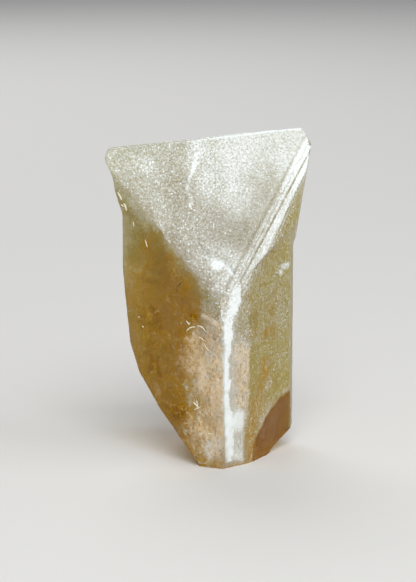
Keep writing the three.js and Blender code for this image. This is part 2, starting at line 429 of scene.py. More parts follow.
# How many strips of mesh lie between each edge and the next, in the same order. The two domes have as many
# as each other, so that they meet point to point along the ridge.
DOME_STRIPS = 112
STRIPS = [70, DOME_STRIPS, 12, 10, 14, 44, 24, 8, 34, DOME_STRIPS, 34, 26]
ROW_STEP = 0.262
TOP_ROWS = 5
TOP_DEPTH = 0.6
BASE_RINGS = 10
RIM_LIFT = 0.3         # the foot's rim is found at this height, clear of the foot's own worn edge


def edge_points(names, heights):
    """An edge's point at each net height: its corners joined by straight lines."""
    corners = np.array([corner(*three) for three in names])
    at = net_height(corners)
    return np.stack([np.interp(heights, at, corners[:, axis]) for axis in range(3)], axis=-1)


def crystal_net():
    """The crystal's skin as a grid of rows by strips: in each row, points spread evenly along straight lines
    from each upright edge to the next, all brought onto the crystal."""
    top = net_height(corner(*RIGHT_END))
    body_rows = np.linspace(0, top - TOP_DEPTH, int(round((top - TOP_DEPTH) / ROW_STEP)))
    heights = np.concatenate([body_rows, np.linspace(top - TOP_DEPTH, top, TOP_ROWS)[1:]])
    edges = [edge_points(names, heights) for names in EDGES.values()]
    columns = []
    for number, strips in enumerate(STRIPS):
        part = np.linspace(0, 1, strips, endpoint=False)[:, None, None]
        columns.append(edges[number] * (1 - part) + edges[(number + 1) % len(edges)] * part)
    net = np.concatenate(columns).transpose(1, 0, 2)

    starts = np.cumsum([0, *STRIPS])
    dome, back = starts[1], starts[9]
    ridge = np.linspace(0, 1, DOME_STRIPS + 1)[:, None]
    ridge = corner(*LEFT_END) * (1 - ridge) + corner(*RIGHT_END) * ridge
    ridge = onto_crystal(ridge, PASSES)
    net[1:-1] = onto_crystal(net[1:-1], PASSES)
    net[0] = onto_crystal(net[0] + (0, 0, RIM_LIFT), PASSES, level=True) * (1, 1, 0)
    net[-1] = ridge[0]
    net[-1, dome:dome + DOME_STRIPS + 1] = ridge
    net[-1, dome + DOME_STRIPS:back] = ridge[-1]
    net[-1, back:back + DOME_STRIPS + 1] = ridge[::-1]
    return net


def base_rings(rim):
    """The underside: the foot's rim drawn in ring by ring to its middle, lifted a little by hackly waves."""
    middle = rim.mean(axis=0)
    part = np.linspace(1, 0, BASE_RINGS + 1)[1:, None, None]
    rings = middle + (rim - middle) * part
    flat = rings.reshape(-1, 3)
    lift = (0.12 + 0.1 * cloudy(flat, 2.0, 97)).reshape(rings.shape[:2]) * smooth(part[..., 0], 1.0, 0.75)
    rings[..., 2] += lift
    rings[-1] = rings[-1].mean(axis=0)
    return rings


WELD = 1000     # steps to a millimetre in which points are told apart


def mesh_piece(name, points, quads):
    """A mesh object from points in millimetres and quads of point numbers, and the points that it keeps.
    Points closer than a thousandth of a millimetre become one, and a quad that keeps fewer than three of
    its points goes."""
    keys = np.round(points * WELD).astype(np.int64)
    _, first, number = np.unique(keys, axis=0, return_index=True, return_inverse=True)
    faces = []
    for quad in number.reshape(-1)[quads].tolist():
        face = [vertex for k, vertex in enumerate(quad) if vertex != quad[k - 1]]
        if len(face) > 2 and len(set(face)) == len(face):
            faces.append(face)
    mesh = bpy.data.meshes.new(name)
    mesh.from_pydata((points[first] * MM).tolist(), [], faces)
    mesh.update()
    piece = bpy.data.objects.new(name, mesh)
    bpy.context.scene.collection.objects.link(piece)
    return piece, points[first]


def closed_quads(rows, columns):
    """Quads of a grid that closes on itself sideways, rows counted upwards, facing out."""
    row, column = np.meshgrid(np.arange(rows - 1), np.arange(columns), indexing="ij")
    after = (column + 1) % columns
    quads = np.stack([row * columns + column, row * columns + after,
                      (row + 1) * columns + after, (row + 1) * columns + column], axis=-1)
    return quads.reshape(-1, 4)


# ------------------------------------------------------------------ what the skin looks like where

SHARE_REACH = 0.07     # over how many millimetres from its plane a face's share of the looks falls off


def face_shares(points):
    """How much each face has of each point, adding up to 1: it falls off with the distance to the plane."""
    groups = [beyond_faces(points, names) for names in (SHARED, PRISM, HEAD)]
    weights = [np.exp(-np.abs(beyond) / SHARE_REACH) for beyond in groups]
    head_stands_out = smooth(groups[1].max(axis=1) - groups[2].max(axis=1), -0.05, 0.05)[:, None]
    weights[1] *= 1 - head_stands_out
    weights[2] *= head_stands_out
    weight = np.concatenate(weights, axis=1)
    weight /= weight.sum(axis=1, keepdims=True)
    return dict(zip(SHARED + PRISM + HEAD, weight.T))


def blot(across, up, at, size, soft=1.0):
    """A soft round or oval spot: 1 in its middle, falling with the distance over its half width and
    height."""
    away = np.hypot((across - at[0]) / size[0], (up - at[1]) / size[1])
    return smooth(away, 1 + 0.5 * soft, 1 - 0.5 * soft)


def line(way, at, width):
    """1 on a line, falling to 0 at half the width on each side."""
    return smooth(np.abs(way - at), width / 2, 0)


def along(across, up, route, width):
    """1 on a route through points on a face, falling to 0 over half the width on each side: the distance to
    the nearest of its straight parts."""
    nearest = np.inf
    for (x0, y0), (x1, y1) in zip(route, route[1:]):
        part = ((across - x0) * (x1 - x0) + (up - y0) * (y1 - y0)) / ((x1 - x0)**2 + (y1 - y0)**2)
        part = np.clip(part, 0, 1)
        nearest = np.minimum(nearest, np.hypot(across - x0 - part * (x1 - x0), up - y0 - part * (y1 - y0)))
    return smooth(nearest, width / 2, 0)


LOOKS = ("frost", "chalk", "blush", "amber", "olive", "grain")

# Places on the faces, in millimetres across and up from the heart.
SCAR = ((-2.0, 20.7), (-1.5, 18.9), (-2.3, 16.6), (-3.2, 14.9), (-3.7, 12.7), (-3.3, 10.3))
LOBE_RIM = ((-5.6, 4.3), (-2.6, 2.8), (-0.8, 1.5), (0.1, 1.25), (0.84, 1.06), (1.4, 0.2), (1.8, -0.45),
            (2.4, -1.05))

# Soft light and dark clouds in the dome's frost: place, half width and height, and strength.
DOME_SPOTS = ((3.6, 18.4, 2.8, 3.2, 0.08), (3.8, 11.4, 2.6, 3.0, 0.12), (-10.2, 16.9, 1.7, 1.2, 0.18),
              (-1.7, 16.6, 1.9, 4.8, 0.14), (2.6, 7.0, 3.4, 3.0, -0.16), (7.6, 10.2, 3.0, 6.0, -0.26),
              (-4.9, 13.2, 2.4, 5.0, -0.13), (0.6, 7.6, 4.6, 3.6, -0.1), (4.6, 4.6, 2.4, 2.4, -0.2),
              (-0.6, 0.2, 2.6, 1.4, -0.14))

# Where the white frost lies on the blunted front edge: height from the heart, and the x it spans.
FRONT_WHITE = ((-24.5, 2.95, 3.5), (-20.8, 2.85, 3.8), (-18.6, 2.6, 4.0), (-16.8, 2.5, 3.9),
               (-15.2, 2.4, 3.3), (-12.9, 2.35, 3.2), (-8.5, 2.4, 3.2), (-5.8, 2.45, 3.5),
               (-2.2, 2.55, 3.7), (-1.2, 2.75, 4.0), (0.0, 3.2, 4.7), (0.8, 3.5, 4.9), (3.0, 3.55, 4.95),
               (6.0, 3.4, 4.9))

# What shows in the left face's skin. Each spot is its place, its half width and height, and how strong it
# is; each streak is its route, its width and how strong it is.
DEEP_SPOTS = ((-5.0, 3.1, 1.5, 0.9, 0.6), (-4.3, -3.0, 0.8, 2.6, 0.9), (-4.3, -10.6, 1.3, 2.4, 0.7),
              (-0.6, -17.0, 1.9, 1.1, 0.9), (-6.2, -6.0, 1.2, 4.0, 0.6), (0.5, -6.6, 1.6, 0.5, 0.5),
              (1.8, -1.8, 0.6, 0.5, 2.8), (4.2, -18.6, 1.4, 0.8, 0.4), (-1.0, 6.5, 1.0, 2.0, 0.3))
OLIVE_SPOTS = ((-7.8, -2.7, 0.9, 1.4, 0.35), (-3.8, 5.0, 1.5, 3.6, 0.5), (-2.1, -8.2, 1.5, 1.5, 0.4),
               (4.4, 1.2, 3.2, 3.4, 0.25), (5.6, -8.8, 1.3, 0.9, 0.4), (4.4, -15.4, 1.4, 0.8, 0.4),
               (-7.6, 8.0, 1.2, 2.4, 0.5), (-2.8, 11.0, 1.6, 2.4, 0.4))
BLUSH_SPOTS = ((2.8, -5.8, 1.8, 1.3, 0.8), (1.5, -8.8, 2.4, 1.8, 0.9), (5.8, -12.0, 1.8, 2.8, 0.7),
               (2.2, -19.9, 2.6, 2.0, 0.8), (-3.8, -13.8, 0.8, 1.0, 0.6), (3.9, -10.6, 0.8, 2.2, 0.8),
               (-8.6, -6.0, 1.0, 3.0, 0.4), (5.4, -18.0, 1.8, 2.4, 0.6))
PALE_SPOTS = ((5.2, 0.7, 1.5, 1.4, 0.5), (3.8, -10.8, 0.7, 1.8, 0.8), (4.9, -22.4, 0.5, 1.6, 0.4),
              (6.8, -10.0, 1.2, 3.0, 0.3), (2.0, -12.2, 0.9, 1.6, 0.2), (4.3, -22.6, 2.6, 1.6, 0.25),
              (6.4, -20.0, 1.0, 2.6, 0.4), (2.6, -4.2, 1.2, 1.0, 0.15))
# Some of these streaks, such as the thin one from (-4.3, -4.7) to (0.0, -5.7), are painted glints.
PALE_AND_GLINT_STREAKS = ((((-9.3, 5.5), (-7.2, 4.3), (-5.2, 3.9)), 1.0, 0.3),
                (((-8.8, 3.0), (-6.9, 2.1)), 0.9, 0.2),
                (((-5.4, -1.8), (-5.7, -4.0), (-5.2, -6.9)), 1.3, 0.35),
                (((-6.8, -4.2), (-6.2, -6.0)), 0.8, 0.3),
                (((-4.3, -4.7), (-2.0, -5.0), (0.0, -5.7)), 0.55, 0.3),
                (((3.6, -1.5), (6.8, -2.8)), 1.2, 0.9),
                (((2.4, 1.3), (4.2, 0.6), (5.8, -0.7)), 0.5, 0.25),
                (((1.9, 0.3), (3.8, -0.5), (5.3, -1.7)), 0.5, 0.25),
                (((2.9, -4.0), (4.4, -4.6), (5.4, -6.0)), 0.5, 0.35),
                (((-3.5, -12.2), (-0.5, -12.0)), 0.5, 0.25),
                (((-3.0, -15.4), (0.5, -16.3), (2.2, -17.6)), 0.5, 0.3))

# Amber places on the right face, given as the spots of the left face are.
RIGHT_SPOTS = ((2.2, -5.4, 1.6, 1.1, 0.4), (2.6, -1.8, 1.0, 1.2, 0.25), (1.2, -11.0, 1.0, 2.0, 0.3),
               (-2.4, -20.5, 1.6, 4.0, 0.3), (0.0, -15.5, 1.4, 3.0, 0.2))


def spots(across, up, places):
    """Soft spots added up."""
    return sum(strength * blot(across, up, (x, y), (wide, tall), 1.5)
               for x, y, wide, tall, strength in places)


# Each of the next functions gives, for the points on a face, their frost, chalk, blush, amber, olive and
# grain in the order of LOOKS, unless it says otherwise.

def dome_looks(points, fine, mottle):
    """Frost of the dome: it wears thin towards the left edge, and is whitest along the scar, on the lobe's
    rim and in soft clouds to the right of the middle.
    A painted highlight lies along the lobe's step, over the step's dark shading."""
    across, up = on_face(points, "dome")
    by_edge = smooth(way_from(points, "dome", "left") + 1.1 * fine + 0.5 * mottle, 2.4, -0.6)
    by_edge = by_edge * smooth(up, 16.5, 10.5)
    to_right = smooth(across, -6.0, 7.0)
    frost = 0.9 - 0.35 * by_edge + 0.05 * mottle
    chalk = 0.5 + 0.08 * mottle + 0.24 * to_right - 0.12 * by_edge
    chalk -= 0.06 * smooth(up, 8.0, 2.0) * (1 - to_right)
    wander, sway = across + 1.4 * mottle, up + 1.2 * noise(points, 2.0, 113)
    chalk += spots(wander, sway, DOME_SPOTS)
    chalk += 0.5 * along(across + 0.9 * fine, up + 0.6 * fine, SCAR, 1.1) * smooth(fine, -0.3, 0.3)
    chalk -= 0.12 * smooth(up + 0.4 * mottle, 20.4, 21.8) * smooth(across, 4.0, 0.0)
    # Painted highlight: a pale line along the lobe's step, laid over the step's dark shading.
    lit_step_span = smooth(across, -5.5, -2.5) * smooth(across, 0.0, -1.0)
    chalk += 0.3 * line(above_lobe(points), 0.0, 0.6) * lit_step_span
    ragged_x, ragged_y = across + 0.25 * fine, up + 0.25 * fine
    chalk += 0.5 * along(ragged_x, ragged_y, LOBE_RIM, 0.5) * smooth(ragged_x, -3.0, 0.6)
    chalk += 0.06 * blot(ragged_x, ragged_y, (0.2, -0.6), (2.2, 2.2), 1.6)
    chalk += 0.5 * blot(ragged_x, ragged_y, (-0.15, 0.75), (0.95, 0.8), 1.2)
    return frost, chalk, 0, 0, 0, 1.7 - 0.7 * to_right


def band_looks(points, fine):
    """White frost of the two bands; the shader draws the lines in it."""
    lower = blot(points[:, 0], points[:, 2], (7.0, 34.5), (3.0, 6.0), 1.6)
    return 0.98, 0.76 - 0.12 * lower + 0.12 * fine, 0, 0, 0, 1.1


def front_looks(points, fine):
    """Thick white frost on the blunted front edge, with a ragged border on the right. Gives only how white
    it is, from 0 to 1."""
    x, up = points[:, 0], points[:, 2] - HEART[2]
    height, left, right = np.array(FRONT_WHITE).T
    white = smooth(x + 0.15 * fine - np.interp(up, height, left), -0.6, 0.3)
    return white * smooth(np.interp(up, height, right) + 0.35 * fine - x, -0.1, 0.14)


def apex_looks(points, fine):
    """Grey, coarsely frosted, with a dark line along its left border."""
    way = way_from(points, "apex", "left")
    return 0.95, 0.66 + 0.1 * fine - 0.4 * line(way + 0.2 * fine, 0.25, 0.8), 0, 0, 0, 1.7


def right_looks(points, fine, mottle, streaky):
    """Khaki ground glass with clearer upright streaks, two white knocks, and a paler far edge."""
    across, up = on_face(points, "right")
    clearer = smooth(streaky, 0.05, 0.55)
    frost = 0.82 - 0.1 * clearer + 0.05 * mottle
    lower = smooth(up, -1.0, -13.0)
    chalk = 0.2 - 0.15 * lower + 0.06 * fine + 0.08 * mottle - 0.05 * clearer
    knocks = blot(across + 0.3 * fine, up + 0.25 * mottle, (6.1, 4.5), (1.0, 0.55), 0.5)
    knocks = np.maximum(knocks, 0.8 * blot(across + 0.35 * fine, up, (5.0, 3.6), (0.6, 0.5), 0.8))
    frost += 0.5 * knocks
    chalk += 0.6 * knocks
    chalk += 0.3 * blot(across + 0.4 * fine, up, (1.9, -13.6), (0.7, 0.9), 1.6)
    chalk += 0.08 * blot(across, up, (5.2, -8.0), (1.4, 9.0), 1.6) - 0.05 * smooth(across, 6.8, 8.1)
    chalk += 0.16 * blot(across + 0.8 * mottle, up, (0.2, -19.0), (2.6, 3.6), 1.4)
    streak = 0.7 * along(across + 0.3 * fine, up, ((3.9, 1.6), (3.6, -0.4)), 0.9)
    streak += along(across + 0.3 * fine, up, ((1.2, -9.4), (1.1, -12.4)), 0.9)
    chalk -= 0.2 * streak
    amber = 0.35 * streak + 0.08 * clearer + spots(across + 0.5 * fine, up + 0.5 * mottle, RIGHT_SPOTS)
    blush = 0.14 * lower + 0.25 * smooth(up, -12.0, -18.0)
    return frost, chalk, blush, amber + 0.1 * lower, 0.35 - 0.2 * lower, 1.45


def growth_looks(points, fine, mottle):
    """Beige frost on the narrow growth face, with a whiter patch low down."""
    across, up = on_face(points, "growth_face")
    lower = smooth(up, -3.0, -8.0)
    chalk = 0.34 + 0.14 * lower + 0.1 * fine + 0.1 * mottle
    patch = blot(across + 0.5 * mottle, up + 0.4 * fine, (-4.4, -17.7), (1.7, 1.4), 1.1)
    grey = smooth(up, -15.5, -19.0)
    chalk += 0.55 * patch + 0.12 * grey
    shaded = smooth(across + 0.2 * mottle, -3.6, -2.5) * smooth(up, -14.5, -19.0)
    chalk += 0.06 * smooth(up, -16.0, -19.0) * smooth(mottle, -0.5, 0.5) - 0.35 * shaded
    blush = 0.8 * lower * (1 - shaded) * (1 - patch) * (1 - 0.75 * grey)
    return (0.85 + 0.05 * mottle, chalk + 0.05 * lower, blush, 0.08 + 0.25 * shaded,
            0.35 - 0.12 * lower, 1.5 - 0.4 * lower)


def left_looks(points, fine, mottle):
    """Honey under a skin that is thin in places: speckled frost fades down from the dome's edge, haze hangs
    by the front edge, and a rough pinkish patch lies low down. Pale and deep amber places are less clear
    than the honey between them."""
    across, up = on_face(points, "left")
    wander_x, wander_y = across + 0.8 * mottle + 0.3 * fine, up + 0.8 * noise(points, 2.1, 109)
    # The pale streaks include painted glints.
    streaks = sum(strength * along(wander_x - 0.5 * mottle, up + 0.3 * fine, route, width)
                  for route, width, strength in PALE_AND_GLINT_STREAKS)
    haze = blot(wander_x, up, (6.8, 0.0), (3.6, 6.5), 1.7)
    rough = blot(wander_x, wander_y, (5.1, -14.6), (4.4, 12.0), 1.3)
    by_dome = smooth(way_from(points, "left", "dome") + 1.1 * fine + 0.8 * mottle, 4.0, -0.9)
    corner_haze = blot(wander_x, up, (-9.6, 13.0), (3.4, 8.0), 1.6)
    pale = spots(wander_x, wander_y, PALE_SPOTS) + streaks
    deep = spots(wander_x, wander_y, DEEP_SPOTS)
    frost = 0.44 + 0.14 * mottle + 0.38 * np.maximum(haze, rough)
    frost = frost + 0.2 * corner_haze + 0.5 * pale + 0.2 * deep
    frost = frost + (0.9 - frost) * by_dome
    chalk = 0.05 + 0.12 * haze + (0.38 + 0.2 * mottle) * rough
    chalk = chalk + 0.3 * corner_haze + 0.35 * pale + 0.08 * mottle
    chalk = chalk + (0.38 - chalk) * by_dome**1.3
    blush = spots(wander_x, wander_y, BLUSH_SPOTS) + 0.45 * rough + 0.6 * pale
    thinner = smooth(wander_x, -4.5, -8.5) * smooth(up, -1.0, 3.0)
    amber = 1.05 - 0.25 * thinner - 0.6 * haze - 0.7 * rough - 0.9 * corner_haze
    amber = amber + deep - 0.6 * pale + 0.2 * mottle
    olive = 0.1 + spots(wander_x, wander_y, OLIVE_SPOTS) + 0.4 * corner_haze + by_dome * (1 - by_dome)
    by_front = smooth(wander_x + 0.12 * up, 0.6, 7.4) * smooth(up, 4.5, -0.5)
    chalk = chalk + 0.1 * by_front
    amber = amber - 0.5 * by_front
    blush = blush + 0.8 * by_front
    off_dome = (1 - by_dome)**2
    grain = 0.35 + 0.7 * rough + 0.5 * haze + 0.8 * by_dome
    return frost, chalk, blush * off_dome, amber * off_dome, olive * (1 - by_dome**3), grain


def lean_to(masks, part, **targets):
    """Moves the named masks to their targets as part goes from 0 to 1."""
    for name, target in targets.items():
        masks[name] = masks[name] + part * (target - masks[name])


def face_masks(share, points, fine, mottle, streaky):
    """The looks of all faces, each weighed by how much the face has of each point."""
    masks = {name: np.zeros(len(points)) for name in LOOKS}

    def cover(names, *looks):
        for name in names:
            for mask, look in zip(LOOKS, looks):
                masks[mask] = masks[mask] + share[name] * look

    cover(("dome", "ridge"), *dome_looks(points, fine, mottle))
    cover(("inner_band", "outer_band"), *band_looks(points, fine))
    cover(["apex"], *apex_looks(points, fine))
    cover(["front_strip"], 0.9, 0.5 + 0.1 * fine, 0.2)
    cover(("right", "head_right"), *right_looks(points, fine, mottle, streaky))
    cover(("side_strip", "head_right_flank", "ledge"), 0.6 + 0.05 * mottle, 0.4 + 0.1 * fine, 0, 0, 0, 0.6)
    cover(["growth_face"], *growth_looks(points, fine, mottle))
    cover(["left"], *left_looks(points, fine, mottle))
    cover(("right_back", "left_back", "head_left_back"), 0.5 + 0.2 * mottle + 0.2 * streaky,
          0.25 + 0.15 * streaky, 0, 0.4 + 0.3 * mottle, 0.2, 0.8)
    cover(["back_dome"], 0.6 + 0.2 * mottle, 0.35 + 0.1 * fine, 0, 0.2 + 0.2 * mottle, 0.15, 1.0)
    cover(["bruise"], 0.8 + 0.1 * mottle, 0.42 + 0.1 * fine, 0.7, 0.15, 0, 0.8)
    cover(("flank_1", "flank_2", "flank_3", "flank_4", "head_left_flank", "foot", "under_chip"),
          0.25 + 0.2 * mottle, 0.15 + 0.15 * fine, 0.15, 0.5 + 0.3 * mottle, 0.1)
    cover(("left_end", "right_end"), 0.8 + 0.15 * mottle, 0.62, 0, 0, 0, 0.6)
    return masks


def skin_masks(points):
    """For each point: frost, how far the skin is frosted over; chalk, how white that frost is; blush, amber
    and olive, how far it turns to each colour; chip, 1 on the break by the foot; grain, how strongly it
    sparkles; stripes, where the lines of the band show; rim, how far it is to the band on the right faces in
    millimetres; and rim_stripes, where fine lines show beside it."""
    share = face_shares(points)
    mottle = cloudy(points, 2.4, 101)
    fine = cloudy(points, 0.8, 103)
    streaky = cloudy(points * (1, 1, 0.12), 0.9, 107)

    # The growth face fades into the right face above, and ends at a clear border low down.
    direction, level = border("right", "growth_face")
    blur = 0.1 + 0.9 * smooth(points[:, 2], 6.0, 12.0)
    growing = points @ direction - level + (0.3 * fine + 0.2 * mottle) * blur
    growing = smooth(growing, -0.5 * blur, 0.4 * blur)
    side = share["right"] + share["growth_face"]
    share["right"], share["growth_face"] = side * (1 - growing), side * growing
    masks = face_masks(share, points, fine, mottle, streaky)

    # Edges at the back turn to a pale line: partly wear, partly a painted highlight along the rims.
    largest = np.max(list(share.values()), axis=0)
    wear_and_highlight = smooth(largest + 0.1 * fine, 0.9, 0.55) * smooth(points[:, 1], -1.0, 2.0)
    masks["chalk"] += 0.35 * wear_and_highlight
    masks["frost"] += 0.35 * wear_and_highlight
    lean_to(masks, 0.8 * wear_and_highlight, amber=0)

    # The chip by the foot is a fresh, glossy break into deep honey, with a pale border.
    inside = into_break("chip_by_foot", points)[0]
    masks["chip"] = smooth(np.abs(inside) + 0.05 * fine, 0.2, 0.05)
    masks["chalk"] += 0.22 * smooth(inside + 0.15 * mottle, -0.5, -0.1) * share["right"]
    lean_to(masks, masks["chip"], frost=0, chalk=0, blush=0, olive=0)
    masks = {name: np.clip(mask, 0, 1.7) for name, mask in masks.items()}

    # The grey of the apex runs a little way past its left border.
    x, up = points[:, 0] + 0.04 * fine, points[:, 2] - HEART[2]
    grey = smooth(x, 1.45, 1.7) * smooth(x, 3.2, 2.6) * (points[:, 1] < 0)
    grey = grey * smooth(up, -3.0, -1.4) * smooth(up, 4.4, 3.6)
    grey_chalk = 0.62 - 0.35 * line(x, 1.7, 0.4) + 0.1 * fine
    lean_to(masks, grey, chalk=grey_chalk, frost=0.98, grain=1.6, blush=0, amber=0, olive=0)

    # White frost on the blunted front edge.
    front = sum(share[name] for name in ("apex", "front_strip", "growth_face", "right", "outer_band", "left"))
    white = front_looks(points, fine) * smooth(front, 0.2, 0.8)
    lean_to(masks, white, chalk=0.93 + 0.24 * fine + 0.1 * mottle, frost=1.05, blush=0, amber=0, olive=0)
    lean_to(masks, 0.4 * white, grain=0)

    masks["stripes"] = share["dome"] + share["inner_band"] + share["outer_band"]
    on_head = share["head_right"] > share["right"]
    masks["rim"] = np.where(on_head, way_from(points, "head_right", "outer_band"),
                            way_from(points, "right", "outer_band"))
    masks["rim_stripes"] = smooth(share["head_right"] + share["right"] + share["growth_face"], 0.5, 0.95)
    masks["rim_stripes"] *= 1 - 0.45 * smooth(points[:, 2], 32.0, 35.0)
    return masks


# ------------------------------------------------------------------ materials

class Wire:
    """A socket that gives a number, with arithmetic that adds Math nodes."""

    def __init__(self, bench, socket):
        self.bench, self.socket = bench, socket

    def maths(self, operation, *values):
        return self.bench.node("ShaderNodeMath", {"operation": operation}, *values)[0]

    def __add__(self, other):
        return self.maths("ADD", self, other)

    def __sub__(self, other):
        return self.maths("SUBTRACT", self, other)

    def __rsub__(self, other):
        return self.maths("SUBTRACT", other, self)

    def __mul__(self, other):
        return self.maths("MULTIPLY", self, other)

    __radd__ = __add__
    __rmul__ = __mul__

    def over(self, low, high, to_low=0.0, to_high=1.0):
        """The number spread from one range to another by an S-curve, and held at the ends."""
        settings = {"interpolation_type": "SMOOTHSTEP"}
        return self.bench.node("ShaderNodeMapRange", settings, self, low, high, to_low, to_high)[0]

    def line(self, at, width):
        """1 where the number is at a value, falling to 0 at half the width on each side."""
        away = self - at
        return away.maths("ABSOLUTE", away).over(0, width / 2, 1, 0)


class Bench:
    """One material's node tree, and the few ways in which nodes are added to it."""

    def __init__(self, name):
        self.material = bpy.data.materials.new(name)
        self.material.use_nodes = True
        self.tree = self.material.node_tree
        self.tree.nodes.clear()

    def node(self, kind, settings, *values, **named):
        """Adds a node, sets it up, fills its sockets by place or by name, and returns its outputs."""
        node = self.tree.nodes.new(kind)
        for key, value in settings.items():
            setattr(node, key, value)
        sockets = list(zip(node.inputs, values))
        sockets += [(node.inputs[key.replace("_", " ")], value) for key, value in named.items()]
        for socket, value in sockets:
            if isinstance(value, Wire):
                self.tree.links.new(value.socket, socket)
            elif value is not None:
                socket.default_value = (*value, 1)[:4] if socket.type == "RGBA" else value
        return [Wire(self, socket) for socket in node.outputs if socket.enabled]

    def place(self):
        """Object coordinates."""
        return self.node("ShaderNodeTexCoord", {})[3]

    def mask(self, name):
        """A number kept in the mesh, point by point."""
        return self.node("ShaderNodeAttribute", {"attribute_name": name})[2]

    def stretched(self, x, y, z):
        """Object coordinates, stretched along each axis."""
        return self.node("ShaderNodeMapping", {}, self.place(), (0, 0, 0), (0, 0, 0), (x, y, z))[0]

    def clouds(self, size, detail=3.0, roughness=0.55, where=None):
        """Cloudy noise from 0 to 1 with features of a size in millimetres."""
        where = where or self.place()
        return self.node("ShaderNodeTexNoise", {}, Vector=where, Scale=1000 / size, Detail=detail,
                         Roughness=roughness)[0]

    def grains(self, size, where=None):
        """Grains of a size in millimetres: the distance to each one's middle, and a number for each."""
        where = where or self.place()
        distance, colour = self.node("ShaderNodeTexVoronoi", {}, Vector=where, Scale=1000 / size)[:2]
        return distance, self.node("ShaderNodeSeparateColor", {}, colour)[0]

    def dot(self, direction):
        """How far a point lies along a direction."""
        return self.node("ShaderNodeVectorMath", {"operation": "DOT_PRODUCT"}, self.place(), direction)[0]

    def between(self, first, second):
        """How far a point lies from the line where two faces meet, in millimetres: less than 0 on the first
        face and more than 0 on the second."""
        direction, level = border(first, second)
        return self.dot(tuple(direction * 1000)) - level

    def blend(self, part, first, second):
        """A colour that goes from the first to the second as part goes from 0 to 1."""
        settings = {"data_type": "RGBA", "clamp_factor": True}
        return self.node("ShaderNodeMix", settings, part, *[None] * 5, first, second)[0]

    def shader(self, kind, **named):
        """A shader of a kind, its sockets given by name."""
        return self.node(kind, {}, **named)[0]

    def mix(self, part, first, second):
        """A shader that goes from the first to the second as part goes from 0 to 1."""
        return self.node("ShaderNodeMixShader", {}, part, first, second)[0]

    def finish(self, surface, volume=None):
        """Joins the surface and the volume to the output, and returns the material."""
        output = self.tree.nodes.new("ShaderNodeOutputMaterial")
        self.tree.links.new(surface.socket, output.inputs["Surface"])
        if volume:
            self.tree.links.new(volume.socket, output.inputs["Volume"])
        return self.material


MASKS = (*LOOKS, "chip", "stripes", "rim", "rim_stripes")
SKIN_OVER_CHIP = 0.72     # share of the chip that the honey skin covers
DULL = 0.07               # specular level of the skin; the clear crystal has twice this
GLOW_COLOUR = (0.86, 0.82, 0.42)     # light that shines through the frost


def linear(red, green, blue):
    """A screen colour, 0 to 255, as the light that it stands for."""
    def one(value):
        value /= 255
        return value / 12.92 if value <= 0.04045 else ((value + 0.055) / 1.055) ** 2.4
    return one(red), one(green), one(blue)


